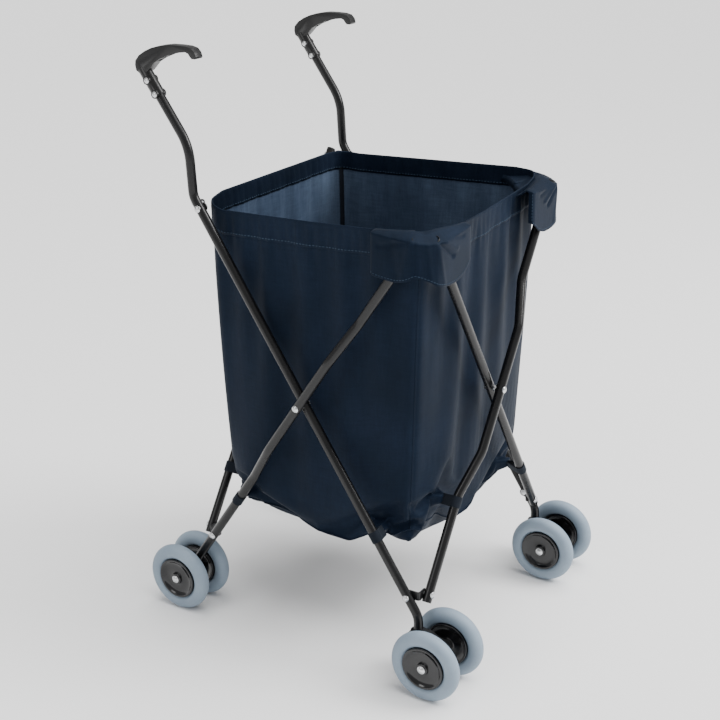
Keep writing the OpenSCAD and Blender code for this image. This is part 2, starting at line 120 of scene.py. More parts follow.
class Nodes:
    """A small builder for one material's node tree."""

    def __init__(self, name):
        self.mat = bpy.data.materials.new(name)
        self.mat.use_nodes = True
        self.tree = self.mat.node_tree
        self.shader = self.tree.nodes["Principled BSDF"]

    def add(self, kind, **values):
        node = self.tree.nodes.new("ShaderNode" + kind)
        for key, value in values.items():
            if key in node.inputs:
                node.inputs[key].default_value = value
            else:
                setattr(node, key, value)
        return node

    def link(self, a, out, b, into):
        self.tree.links.new(a.outputs[out], b.inputs[into])

    def noise(self, scale, detail=4.0, coords=None, stretch=None, roughness=0.5):
        """A noise texture over the row frame, or over UV, with each axis stretched."""
        source = self.add("TexCoord")
        mapping = self.add("Mapping")
        mapping.inputs["Scale"].default_value = stretch or (1, 1, 1)
        self.link(source, coords or "Object", mapping, "Vector")
        node = self.add("TexNoise", Scale=scale, Detail=detail, Roughness=roughness)
        self.link(mapping, "Vector", node, "Vector")
        return node

    def ramp(self, source, out, stops):
        """A colour ramp over source, with stops as (position, colour)."""
        node = self.add("ValToRGB")
        ends = node.color_ramp.elements
        while len(ends) < len(stops):
            ends.new(0.5)
        for end, (position, colour) in zip(ends, stops):
            end.position = position
            end.color = (*colour, 1)
        self.link(source, out, node, "Fac")
        return node

    def mix(self, a, a_out, b, b_out, factor, blend="MIX"):
        """Colours a and b mixed, by a fixed factor or a (node, output) pair."""
        node = self.add("Mix", data_type="RGBA", blend_type=blend)
        if isinstance(factor, tuple):
            self.link(factor[0], factor[1], node, 0)
        else:
            node.inputs[0].default_value = factor
        for source, out, socket in ((a, a_out, 6), (b, b_out, 7)):
            if isinstance(source, tuple):
                node.inputs[socket].default_value = (*source, 1)
            else:
                self.tree.links.new(source.outputs[out], node.inputs[socket])
        return node

    def bump(self, source, out, strength, distance, below=None):
        node = self.add("Bump", Strength=strength, Distance=distance)
        self.link(source, out, node, "Height")
        if below:
            self.link(below, "Normal", node, "Normal")
        return node

    def spread(self, source, out, low, high):
        """Maps 0..1 to low..high."""
        node = self.add("MapRange")
        node.inputs["To Min"].default_value = low
        node.inputs["To Max"].default_value = high
        self.link(source, out, node, "Value")
        return node


def weave(n, thread):
    """A plain weave's height over UV in metres, for threads this far apart."""
    source = n.add("TexCoord")
    waves = []
    for axis in ("X", "Y"):
        wave = n.add("TexWave", bands_direction=axis, wave_profile="SIN")
        wave.inputs["Scale"].default_value = math.pi / (10 * thread)
        wave.inputs["Distortion"].default_value = 0.6
        wave.inputs["Detail"].default_value = 1
        n.link(source, "UV", wave, "Vector")
        waves.append(wave)
    both = n.add("Math", operation="MAXIMUM")
    n.tree.links.new(waves[0].outputs["Fac"], both.inputs[0])
    n.tree.links.new(waves[1].outputs["Fac"], both.inputs[1])
    return both


def fabric(name, dark, mid, light, roughness, sheen, coat=0.0, gloss=0.18):
    """Woven polyester: mottled threads, slubs along both ways, and soft creases."""
    n = Nodes(name)
    cloudy = n.noise(9, 5)
    fine = n.noise(650, 2, "UV")
    warp = n.noise(260, 3, "UV", (1, 0.12, 1))
    weft = n.noise(260, 3, "UV", (0.12, 1, 1))
    base = n.ramp(cloudy, "Fac", [(0.3, dark), (0.5, mid), (0.72, light)])
    threads = n.mix(warp, "Fac", weft, "Fac", 0.5)
    shade = n.ramp(threads, 2, [(0.36, (0.8, 0.81, 0.82)), (0.64, (1.18, 1.17, 1.16))])
    coloured = n.mix(base, "Color", shade, "Color", 0.85, "MULTIPLY")
    speck = n.ramp(fine, "Fac", [(0.35, (0.78, 0.79, 0.8)), (0.68, (1.24, 1.22, 1.2))])
    final = n.mix(coloured, 2, speck, "Color", 0.6, "MULTIPLY")
    n.tree.links.new(final.outputs[2], n.shader.inputs["Base Color"])
    rough = n.spread(cloudy, "Fac", roughness - 0.07, roughness + 0.07)
    n.link(rough, "Result", n.shader, "Roughness")
    creases = n.noise(38, 4, None, (1, 1, 0.5))
    deep = n.bump(creases, "Fac", 0.35, 0.0016)
    thread_bump = n.bump(threads, 2, 0.5, 0.0003, deep)
    woven = n.bump(weave(n, 0.7 * MM), "Value", 0.25, 0.00012, thread_bump)
    n.link(woven, "Normal", n.shader, "Normal")
    n.shader.inputs["Sheen Weight"].default_value = sheen
    n.shader.inputs["Sheen Roughness"].default_value = 0.45
    n.shader.inputs["Sheen Tint"].default_value = (0.55, 0.68, 0.85, 1)
    n.shader.inputs["Specular IOR Level"].default_value = gloss
    n.shader.inputs["Specular Tint"].default_value = (0.5, 0.68, 1.0, 1)
    n.shader.inputs["Coat Weight"].default_value = coat
    n.shader.inputs["Coat Roughness"].default_value = 0.35
    return n.mat


def paint(name, colour, roughness, bump=0.05, coat=0.2, grain=420, gloss=0.5):
    """Powder coat or moulded plastic, with a fine orange peel and handled patches."""
    n = Nodes(name)
    peel = n.noise(grain, 3)
    cloudy = n.noise(14, 4)
    worn = tuple(c * 0.8 for c in colour)
    fresh = tuple(c * 1.25 for c in colour)
    base = n.ramp(cloudy, "Fac", [(0.3, worn), (0.7, fresh)])
    n.link(base, "Color", n.shader, "Base Color")
    rough = n.spread(cloudy, "Fac", roughness - 0.06, roughness + 0.08)
    n.link(rough, "Result", n.shader, "Roughness")
    n.link(n.bump(peel, "Fac", bump, 0.0004), "Normal", n.shader, "Normal")
    n.shader.inputs["Specular IOR Level"].default_value = gloss
    n.shader.inputs["Coat Weight"].default_value = coat
    n.shader.inputs["Coat Roughness"].default_value = 0.25
    return n.mat


def metal(name, colour, roughness):
    """Plated steel with faint turning marks."""
    n = Nodes(name)
    marks = n.noise(900, 2)
    base = n.ramp(marks, "Fac", [(0.3, tuple(c * 0.85 for c in colour)), (0.7, colour)])
    n.link(base, "Color", n.shader, "Base Color")
    n.link(n.spread(marks, "Fac", roughness - 0.08, roughness + 0.1), "Result", n.shader, "Roughness")
    n.shader.inputs["Metallic"].default_value = 1
    return n.mat


def foam(name, dark, light):
    """Foamed tyre: soft, slightly chalky, with cloudy scuffed patches."""
    n = Nodes(name)
    cloudy = n.noise(22, 5)
    pores = n.noise(1400, 2)
    base = n.ramp(cloudy, "Fac", [(0.25, dark), (0.75, light)])
    speck = n.ramp(pores, "Fac", [(0.3, (0.93, 0.93, 0.94)), (0.7, (1.05, 1.05, 1.04))])
    final = n.mix(base, "Color", speck, "Color", 0.7, "MULTIPLY")
    n.tree.links.new(final.outputs[2], n.shader.inputs["Base Color"])
    n.link(n.spread(cloudy, "Fac", 0.5, 0.66), "Result", n.shader, "Roughness")
    n.link(n.bump(pores, "Fac", 0.12, 0.0003), "Normal", n.shader, "Normal")
    n.shader.inputs["Subsurface Weight"].default_value = 0.05
    n.shader.inputs["Subsurface Radius"].default_value = (0.004, 0.004, 0.004)
    return n.mat


NAVY = fabric("navy_fabric", (0.0024, 0.0050, 0.0110), (0.0034, 0.0070, 0.0155), (0.0058, 0.0106, 0.0225),
              0.58, 0.03, gloss=0.13)
LINING = fabric("navy_lining", (0.032, 0.048, 0.080), (0.044, 0.064, 0.104), (0.068, 0.096, 0.146),
                0.42, 0.06, coat=0.25)
BINDING = fabric("black_webbing", (0.004, 0.0045, 0.006), (0.006, 0.007, 0.009), (0.010, 0.011, 0.014),
                 0.7, 0.08)
TUBE = paint("tube_paint", (0.005, 0.005, 0.0055), 0.26, 0.04, 0.1, gloss=0.32)
GRIP = paint("grip_plastic", (0.005, 0.005, 0.0055), 0.34, 0.12, 0.05, 900, gloss=0.4)
MOULD = paint("moulded_plastic", (0.008, 0.008, 0.009), 0.4, 0.1, 0.05, 700)
HUB = paint("hub_plastic", (0.004, 0.004, 0.005), 0.13, 0.01, 0.1)
STEEL = metal("plated_steel", (0.72, 0.73, 0.74), 0.28)
TYRE = foam("tyre_foam", (0.20, 0.26, 0.33), (0.26, 0.33, 0.40))
THREAD = fabric("stitch_thread", (0.02, 0.034, 0.055), (0.03, 0.048, 0.075), (0.045, 0.07, 0.1), 0.6, 0.1)

# ---- mesh helpers ----


def new_mesh(name, points, faces, materials, smooth=True, uv=None):
    """An object from arrays of points and faces; uv is one pair for each point."""
    mesh = bpy.data.meshes.new(name)
    mesh.from_pydata([tuple(p) for p in points], [], [tuple(f) for f in faces])
    mesh.validate()
    for material in materials:
        mesh.materials.append(material)
    if smooth:
        mesh.polygons.foreach_set("use_smooth", [True] * len(mesh.polygons))
    if uv is not None:
        layer = mesh.uv_layers.new(name="UVMap")
        index = np.zeros(len(mesh.loops), int)
        mesh.loops.foreach_get("vertex_index", index)
        layer.data.foreach_set("uv", np.asarray(uv, float)[index].ravel())
    obj = bpy.data.objects.new(name, mesh)
    bpy.context.scene.collection.objects.link(obj)
    return obj


def grid_faces(rows, columns, start=0, close=False, flip=False):
    """Quads over a rows by columns block of points."""
    out = []
    for i in range(rows - 1):
        for j in range(columns if close else columns - 1):
            k = (j + 1) % columns
            quad = [start + i * columns + j, start + i * columns + k,
                    start + (i + 1) * columns + k, start + (i + 1) * columns + j]
            out.append(quad[::-1] if flip else quad)
    return out


def basis(direction):
    """Two unit vectors square to direction."""
    d = Vector(direction).normalized()
    side = Vector((0, 0, 1)) if abs(d.z) < 0.9 else Vector((1, 0, 0))
    a = d.cross(side).normalized()
    return a, d.cross(a).normalized()


def lathe(name, centre, axis, profile, material, steps=64, closed=True):
    """Revolves (radius, height along axis) points about a line through centre."""
    centre = Vector(centre)
    d = Vector(axis).normalized()
    a, b = basis(d)
    points = []
    uv = []
    travelled = 0.0
    for i, (r, h) in enumerate(profile):
        if i:
            travelled += math.hypot(r - profile[i - 1][0], h - profile[i - 1][1])
        for k in range(steps):
            turn = 2 * math.pi * k / steps
            points.append(centre + d * h + a * (r * math.cos(turn)) + b * (r * math.sin(turn)))
            uv.append((turn * 0.04, travelled))
    faces = grid_faces(len(profile), steps, 0, True)
    if closed:
        last = (len(profile) - 1) * steps
        for k in range(steps):
            n = (k + 1) % steps
            faces.append([last + k, last + n, n, k])
    return new_mesh(name, points, faces, [material], True, uv)


def crisp(obj, degrees=38):
    """Keeps edges sharper than this angle sharp in smooth shading."""
    mesh = obj.data
    mesh.update()
    b = bmesh.new()
    b.from_mesh(mesh)
    bmesh.ops.recalc_face_normals(b, faces=b.faces)
    for edge in b.edges:
        if len(edge.link_faces) == 2 and edge.calc_face_angle(0) > math.radians(degrees):
            edge.smooth = False
    b.to_mesh(mesh)
    b.free()
    return obj


def rounded_path(points, radii, steps=12):
    """(place, tangent) along points in one plane, each inner corner an arc."""
    points = [Vector(p) for p in points]
    dirs = [(b - a).normalized() for a, b in zip(points, points[1:])]
    out = [(points[0], dirs[0])]
    for i in range(1, len(points) - 1):
        d1, d2, r = dirs[i - 1], dirs[i], radii[i - 1]
        turn = math.acos(max(-1, min(1, d1.dot(d2))))
        n = (d2 - d1 * d1.dot(d2)).normalized()
        centre = points[i] - d1 * (r * math.tan(turn / 2)) + n * r
        for k in range(steps + 1):
            a = turn * k / steps
            place = centre - n * (r * math.cos(a)) + d1 * (r * math.sin(a))
            out.append((place, d1 * math.cos(a) + n * math.sin(a)))
    out.append((points[-1], dirs[-1]))
    return out


def tube(name, path, normal, r=TUBE_R, wall=WALL, sides=40, lip=0.5 * MM):
    """A hollow tube along (place, tangent) pairs, its ends deburred."""
    normal = Vector(normal).normalized()

    def ring(place, tangent, radius):
        b = tangent.cross(normal)
        return [place + normal * (radius * math.cos(t)) + b * (radius * math.sin(t))
                for t in (2 * math.pi * k / sides for k in range(sides))]

    rings = []
    start, t0 = path[0]
    end, t1 = path[-1]
    rings.append(ring(start + t0 * 20 * MM, t0, r - wall))
    rings.append(ring(start + t0 * lip, t0, r - wall))
    rings.append(ring(start, t0, r - wall + lip))
    rings.append(ring(start, t0, r - lip))
    rings.append(ring(start + t0 * lip, t0, r))
    rings += [ring(p, t, r) for p, t in path[1:-1]]
    rings.append(ring(end - t1 * lip, t1, r))
    rings.append(ring(end, t1, r - lip))
    rings.append(ring(end, t1, r - wall + lip))
    rings.append(ring(end - t1 * lip, t1, r - wall))
    rings.append(ring(end - t1 * 20 * MM, t1, r - wall))
    points = [p for one in rings for p in one]
    faces = grid_faces(len(rings), sides, 0, True)
    faces.append(list(range(sides)))
    last = (len(rings) - 1) * sides
    faces.append([last + k for k in range(sides)][::-1])
    obj = new_mesh(name, points, faces, [TUBE])
    return crisp(obj)


# ---- frame ----

TUBES = {
    "tube_left_axle": ("left", 1, "left_axle_tube"),
    "tube_right_axle": ("right", 1, "right_axle_tube"),
    "tube_front_left": ("front", -1, "front_tube_fr"),
    "tube_rear_left": ("rear", -1, "rear_tube_rr"),
    "tube_front_right": ("front", 1, "front_tube_fl"),
    "tube_rear_right": ("rear", 1, "rear_tube_rl"),
}
HANDLES = {
    "tube_left_handle": ("left", "left_handle_tube"),
    "tube_right_handle": ("right", "right_handle_tube"),
}
POCKETED = ("left_axle_tube", "right_axle_tube", "front_tube_fr", "front_tube_fl")
POCKET_TAIL = 0.012   # of a tube end that a pocket covers
JOGGLE_NEAR = 0.112   # from the crossing to where a joggled tube is full out
JOGGLE_FAR = 0.195    # and to where it is back in its plane
JOGGLE_R = 0.08
AXLE_S = (CROSS_Z - AXLE_Z) / math.cos(LEAN)

HANDLE_BEND_Z = 0.780
HANDLE_LEAN_Z = 0.8634
HANDLE_LEAN = math.radians(35.8)
HANDLE_LEN = 0.134
HANDLE_BEND_Y = (HANDLE_BEND_Z - CROSS_Z) * math.tan(LEAN)
HANDLE_LEAN_Y = HANDLE_BEND_Y + 5.2 * MM
STEM_END_Z = 0.096
STEM_BEND_Z = 0.120


def handle_point(side, s):
    """A point on a handle's leaning part."""
    y = HANDLE_LEAN_Y + s * math.sin(HANDLE_LEAN)
    return on_side(side, y, HANDLE_LEAN_Z + s * math.cos(HANDLE_LEAN))


for name, (side, way, body) in TUBES.items():
    joggled = name not in ("tube_front_right", "tube_rear_right")
    tail = POCKET_TAIL if body in POCKETED else TAIL
    low_s = AXLE_S + 12 * MM if name.endswith("axle") else REACH + TAIL
    if joggled:
        corners = [on_tube(side, way, -REACH - tail), on_tube(side, way, -JOGGLE_FAR),
                   on_tube(side, way, -JOGGLE_NEAR, JOGGLE), on_tube(side, way, JOGGLE_NEAR, JOGGLE),
                   on_tube(side, way, JOGGLE_FAR), on_tube(side, way, low_s)]
        path = rounded_path(corners, [JOGGLE_R] * 4)
    else:
        a, b = on_tube(side, way, -REACH - tail), on_tube(side, way, low_s)
        d = (b - a).normalized()
        path = [(a, d), (a.lerp(b, 0.5), d), (b, d)]
    across = (path[-1][0] - path[0][0]).cross(OUT[side])
    piece = tube(name + "_bar", path, across)
    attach(piece, body)
    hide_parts(name)

for name, (side, body) in HANDLES.items():
    corners = [on_side(side, STEM_Y, STEM_END_Z), on_side(side, STEM_Y, STEM_BEND_Z),
               on_side(side, HANDLE_BEND_Y, HANDLE_BEND_Z), on_side(side, HANDLE_LEAN_Y, HANDLE_LEAN_Z),
               handle_point(side, HANDLE_LEN)]
    piece = tube(name + "_bar", rounded_path(corners, [0.04, 0.035, 0.09], 16), OUT[side])
    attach(piece, body)
    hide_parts(name)

for name, node in frame["nodes"].items():
    kind = name.split("_")[0]
    material = {
        "rivets": STEEL, "bracket": MOULD, "axle": STEEL, "collar": MOULD,
        "caster": MOULD, "grip": GRIP, "hub": HUB, "tyre": TYRE, "pocket": NAVY, "bag": NAVY,
    }.get(kind, TUBE)
    node.data.materials.clear()
    node.data.materials.append(material)

# ---- wheels ----


def wheel(name, place, body):
    """A foam tyre on a dished, glossy hub, in the row frame."""
    r_mid = WHEEL_R - TYRE_W / 2
    half = TYRE_W / 2
    tyre = []
    for k in range(49):
        a = math.pi * (-0.82 + 1.64 * k / 48)
        bulge = 1 + 0.012 * math.cos(2 * a)
        tyre.append((r_mid + half * bulge * math.cos(a) * 0.999, half * 0.995 * math.sin(a)))
    groove = 0.35 * MM
    tyre = [(r - groove * math.exp(-(h / (0.7 * MM)) ** 2), h) for r, h in tyre]
    low = tyre[0]
    tyre = [(HUB_R + 0.4 * MM, low[1])] + tyre + [(HUB_R + 0.4 * MM, -low[1])]
    tread = lathe(name + "_tyre_foam", place, (1, 0, 0), tyre, TYRE, 96)
    crisp(tread, 60)
    half_hub = [(4.1, 13.2), (9.0, 13.2), (9.8, 12.9), (10.2, 12.2), (10.4, 9.2), (11.2, 8.2), (12.8, 7.7),
                (17, 7.2), (22, 7.1), (26, 7.6), (29.5, 8.8), (32.2, 10.5), (33.6, 11.7), (34.6, 12.3),
                (36.4, 12.5), (37.4, 12.2), (37.9, 11.4)]
    section = [(r * MM, h * MM) for r, h in half_hub]
    section += [(r, -h) for r, h in reversed(section)]
    disc = lathe(name + "_hub_disc", place, (1, 0, 0), section, HUB, 96)
    crisp(disc, 50)
    for piece, slot, node in ((tread, "tyre", "tyre_" + name), (disc, "hub", "hub_" + name)):
        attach(piece, body)
        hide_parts(node)


for name in [a + "_" + b for a in ("fl", "fr", "rl", "rr") for b in ("out", "in")]:
    wheel(name, joint_at("spin_" + name), "wheel_" + name)

# ---- bag ----

BAG_RIM = 0.2065   # half width at the rim
BAG_FOOT = 0.1865  # half width at the floor
BAG_OUT = 0.2135   # the widest that the cloth may swing, clear of the tubes
FLOOR_Z = 0.226
CORNER_R = 0.024
ACROSS = 52        # cells along one wall
AROUND = 4 * ACROSS
DOWN = 68          # cells from rim to floor
CLOTH = 1.1 * MM
DRAPE_FRAMES = 49

# heights round the bag: 0 is the front left corner, then 1, 2 and 3 going by the front
RIM_Z = [
    (0, 0.760), (0.1, 0.758), (0.5, 0.762), (0.9, 0.772), (1, 0.785), (1.1, 0.787), (1.5, 0.779),
    (1.9, 0.771), (2, 0.772), (2.1, 0.775), (2.9, 0.775), (3, 0.766), (3.07, 0.757), (3.5, 0.763),
    (3.85, 0.770), (3.94, 0.764), (4, 0.760),
]
FOOT_Z = [
    (0, 0.244), (0.16, 0.243), (0.34, 0.229), (0.5, 0.226), (0.68, 0.236), (0.87, 0.233), (1, 0.227),
    (1.5, 0.228), (2, 0.224), (2.5, 0.226), (3, 0.221), (3.36, 0.221), (3.55, 0.214), (3.68, 0.211),
    (3.78, 0.224), (4, 0.244),
]
TIES = [
    # where a loop holds the cloth (x, y, z), and how far out from the middle it holds it
    (-0.195, -0.128, 0.248, 0.203), (-0.195, 0.144, 0.242, 0.203),
    (0.195, -0.128, 0.248, 0.203), (0.195, 0.144, 0.242, 0.203),
    (-0.112, -0.195, 0.286, 0.203), (0.140, -0.195, 0.245, 0.202),
    (0.112, 0.195, 0.286, 0.203), (-0.140, 0.195, 0.245, 0.202),
]


def outline(half, corner, cells):
    """Points round a square with rounded corners, from the front left corner's middle."""
    straight = half - corner
    bow = math.pi / 4 * corner
    side = []
    for k in range(cells):
        s = k / cells * 2 * (straight + bow)
        if s < bow:
            a = math.pi * 5 / 4 + s / corner
            side.append((-straight + corner * math.cos(a), -straight + corner * math.sin(a)))
        elif s < bow + 2 * straight:
            side.append((-straight + s - bow, -half))
        else:
            a = math.pi * 3 / 2 + (s - bow - 2 * straight) / corner
            side.append((straight + corner * math.cos(a), -straight + corner * math.sin(a)))
    ring = []
    for c, s in ((1, 0), (0, 1), (-1, 0), (0, -1)):
        ring += [(x * c - y * s, x * s + y * c) for x, y in side]
    return np.array(ring)


def ring_place(i, j, cells):
    """Where a floor grid's edge point lies on the ring round it, or None inside."""
    if j == 0 and i < cells:
        return i
    if i == cells and j < cells:
        return cells + j
    if j == cells and i > 0:
        return 3 * cells - i
    if i == 0 and j > 0:
        return 4 * cells - j
    return None


def laid_out():
    """The bag as one cloth: its points, the floor grid's point numbers, and the faces."""
    u = np.arange(AROUND) / ACROSS
    top = np.interp(u, *zip(*RIM_Z))
    low = np.interp(u, *zip(*FOOT_Z))
    rows = []
    for v in np.arange(DOWN + 1) / DOWN:
        xy = outline(BAG_RIM + (BAG_FOOT - BAG_RIM) * v, CORNER_R * (1 - 0.25 * v), ACROSS)
        rows.append(np.column_stack([xy, top + (low - top) * v]))
    points = [tuple(p) for row in rows for p in row]
    floor = np.zeros((ACROSS + 1, ACROSS + 1), int)
    for i in range(ACROSS + 1):
        for j in range(ACROSS + 1):
            edge = ring_place(i, j, ACROSS)
            if edge is None:
                floor[i, j] = len(points)
                x, y = (2 * np.array([i, j]) / ACROSS - 1) * BAG_FOOT
                points.append((x, y, FLOOR_Z))
            else:
                floor[i, j] = DOWN * AROUND + edge % AROUND
    faces = grid_faces(DOWN + 1, AROUND, 0, True, True)
    for i in range(ACROSS):
        for j in range(ACROSS):
            faces.append([floor[i, j], floor[i, j + 1], floor[i + 1, j + 1], floor[i + 1, j]])
    return np.array(points), floor, faces


def drape():
    """Hangs the bag by its rim and ties, and returns the settled walls and floor grids."""
    points, floor, faces = laid_out()
    held = np.zeros(len(points))
    held[:AROUND] = 1
    held[AROUND:3 * AROUND] = 0.5
    start = points.copy()
    # a seeded unevenness, so that no two sides fold alike
    rng = np.random.default_rng(11)
    wave = np.zeros(len(points))
    for _ in range(12):
        way = rng.normal(size=3) * (20, 20, 5)
        wave += rng.uniform(0.4, 1) * np.sin(points @ way + rng.uniform(0, 6.28))
    flat = points * (1, 1, 0)
    outward = flat / (np.linalg.norm(flat, axis=1, keepdims=True) + 1e-6)
    soft = np.clip((0.775 - points[:, 2]) * 8, 0, 1)
    start += outward * (wave * 0.0022 * soft)[:, None]
    for x, y, z, out in TIES:
        near = np.linalg.norm(points - (x, y, z), axis=1)
        for k in np.argsort(near)[:9]:
            held[k] = 1
            axis = 0 if abs(x) > abs(y) else 1
            start[k] = points[k]
            start[k, axis] = math.copysign(out, points[k, axis])
    obj = new_mesh("bag_drape", start, faces, [NAVY])
    group = obj.vertex_groups.new(name="held")
    for k in np.nonzero(held)[0]:
        group.add([int(k)], float(held[k]), "REPLACE")
    cloth = obj.modifiers.new("cloth", "CLOTH")
    cloth.point_cache.frame_end = 60
    s = cloth.settings
    s.quality = 5
    s.mass = 0.35
    s.tension_stiffness = 22
    s.compression_stiffness = 22
    s.shear_stiffness = 9
    s.bending_stiffness = 12
    s.bending_damping = 1.5
    s.air_damping = 3
    s.vertex_group_mass = "held"
    s.pin_stiffness = 5
    s.shrink_min = -0.022
    for frame_number in range(1, DRAPE_FRAMES + 1):
        bpy.context.scene.frame_set(frame_number)
    shown = obj.evaluated_get(bpy.context.evaluated_depsgraph_get())
    settled = np.zeros(len(points) * 3)
    shown.data.vertices.foreach_get("co", settled)
    start = settled.reshape(-1, 3).copy()
    bpy.context.scene.frame_set(1)
    bpy.data.objects.remove(obj)
    start[:, :2] = np.clip(start[:, :2], -BAG_OUT, BAG_OUT)
    return start[:(DOWN + 1) * AROUND].reshape(DOWN + 1, AROUND, 3), start[floor]


def doubled(grid, axis, closed=False):
    """The grid with smooth midpoints put in along one axis."""
    a = np.moveaxis(grid, axis, 0)
    if closed:
        line = np.concatenate([a[-1:], a, a[:2]])
    else:
        line = np.concatenate([2 * a[:1] - a[1:2], a, 2 * a[-1:] - a[-2:-1]])
    middle = (9 * (line[1:-2] + line[2:-1]) - line[:-3] - line[3:]) / 16
    out = np.zeros((len(a) + len(middle),) + a.shape[1:])
    out[0::2] = a
    out[1::2] = middle
    return np.moveaxis(out, 0, axis)


def normals(grid, closed=False):
    """Unit normals of a grid, pointing along columns x rows."""
    down = np.gradient(grid, axis=0)
    if closed:
        along = np.roll(grid, -1, 1) - np.roll(grid, 1, 1)
    else:
        along = np.gradient(grid, axis=1)
    n = np.cross(down, along)
    return n / (np.linalg.norm(n, axis=2, keepdims=True) + 1e-12)


def run_of(grid):
    """UV in metres: how far along and how far down each point of a grid is."""
    along = np.linalg.norm(np.diff(grid, axis=1, prepend=grid[:, :1]), axis=2).cumsum(axis=1)
    down = np.linalg.norm(np.diff(grid, axis=0, prepend=grid[:1]), axis=2).cumsum(axis=0)
    return np.stack([along.mean(axis=0)[None, :] + 0 * along, down.mean(axis=1)[:, None] + 0 * down], axis=2)


def sheet(name, grid, normal, outer, inner, outside, inside):
    """A thick cloth from a grid: two skins, outer and inner from it, with closed edges."""
    rows, columns = grid.shape[:2]
    skins = [grid + normal * outer, grid + normal * inner]
    points = np.concatenate([s.reshape(-1, 3) for s in skins])
    n = rows * columns
    faces = grid_faces(rows, columns, 0, False, True) + grid_faces(rows, columns, n)
    half = len(faces) // 2
    rim = [(0, j) for j in range(columns)] + [(i, columns - 1) for i in range(1, rows)]
    rim += [(rows - 1, j) for j in range(columns - 2, -1, -1)] + [(i, 0) for i in range(rows - 2, 0, -1)]
    ids = [i * columns + j for i, j in rim]
    for a, b in zip(ids, ids[1:] + ids[:1]):
        faces.append([b, a, n + a, n + b])
    uv = run_of(grid).reshape(-1, 2)
    obj = new_mesh(name, points, faces, [outside, inside], True, np.concatenate([uv, uv]))
    index = np.zeros(len(obj.data.polygons), int)
    index[half:2 * half] = 1
    obj.data.polygons.foreach_set("material_index", index)
    return obj


def band(name, rows, material):
    """A surface through rows of points, such as a hem folded over the rim."""
    grid = np.array(rows)
    k, columns = grid.shape[:2]
    faces = grid_faces(k, columns, 0, False, True)
    return new_mesh(name, grid.reshape(-1, 3), faces, [material], True, run_of(grid).reshape(-1, 2))


def stitches(name, line, normal, stitch=4.2 * MM, gap=2.0 * MM, r=0.42 * MM):
    """A run of short raised threads along a line of points on cloth."""
    line = np.asarray(line)
    far = np.linalg.norm(np.diff(line, axis=0, prepend=line[:1]), axis=1).cumsum()

    def at(s):
        return (Vector([np.interp(s, far, line[:, k]) for k in range(3)]),
                Vector([np.interp(s, far, np.asarray(normal)[:, k]) for k in range(3)]).normalized())

    points = []
    faces = []
    s = gap
    while s + stitch < far[-1]:
        (a, n), (b, _) = at(s), at(s + stitch)
        d = (b - a).normalized()
        side = d.cross(n).normalized()
        start = len(points)
        for along, size, lift in ((0, 0.35, -0.3), (0.18, 1, 0.5), (0.82, 1, 0.5), (1, 0.35, -0.3)):
            centre = a.lerp(b, along) + n * (lift * r)
            for k in range(6):
                t = math.pi * k / 3
                points.append(centre + side * (1.35 * r * size * math.cos(t)) + n * (r * size * math.sin(t)))
        faces += grid_faces(4, 6, start, True)
        faces.append([start + k for k in range(6)])
        faces.append([start + 18 + k for k in range(5, -1, -1)])
        s += stitch + gap
    return crisp(new_mesh(name, points, faces, [THREAD], True, [(0.0, 0.0)] * len(points)), 180)


SIDES = {
    "front": (0, "top_fl", (1, 0, 0)),
    "right": (1, "top_fr", (0, 1, 0)),
    "rear": (2, "top_rl", (1, 0, 0)),
    "left": (3, "top_fl", (0, 1, 0)),
}


def on_bag(piece, side, node=None):
    """piece rides the bag's wall on that side, on a mesh of its own."""
    _, body, axis = SIDES[side]
    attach(piece, body)
    if node:
        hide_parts(node)
    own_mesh(piece)


walls, floor_grid = drape()
walls = doubled(doubled(walls, 0), 1, True)
floor_grid = doubled(doubled(floor_grid, 0), 1)
for i in range(2 * ACROSS + 1):
    for j in range(2 * ACROSS + 1):
        edge = ring_place(i, j, 2 * ACROSS)
        if edge is not None:
            floor_grid[i, j] = walls[-1, edge % (2 * AROUND)]
wall_normals = normals(walls, True)
HEM_ROWS = 10

# the corner seams pull the cloth in a little, below the hem
for corner in range(4):
    for step, depth in ((-1, 0.4), (0, 1.3), (1, 0.4)):
        j = (corner * 2 * ACROSS + step) % (2 * AROUND)
        walls[HEM_ROWS + 1:-1, j] -= wall_normals[HEM_ROWS + 1:-1, j] * depth * MM
wall_normals = normals(walls, True)

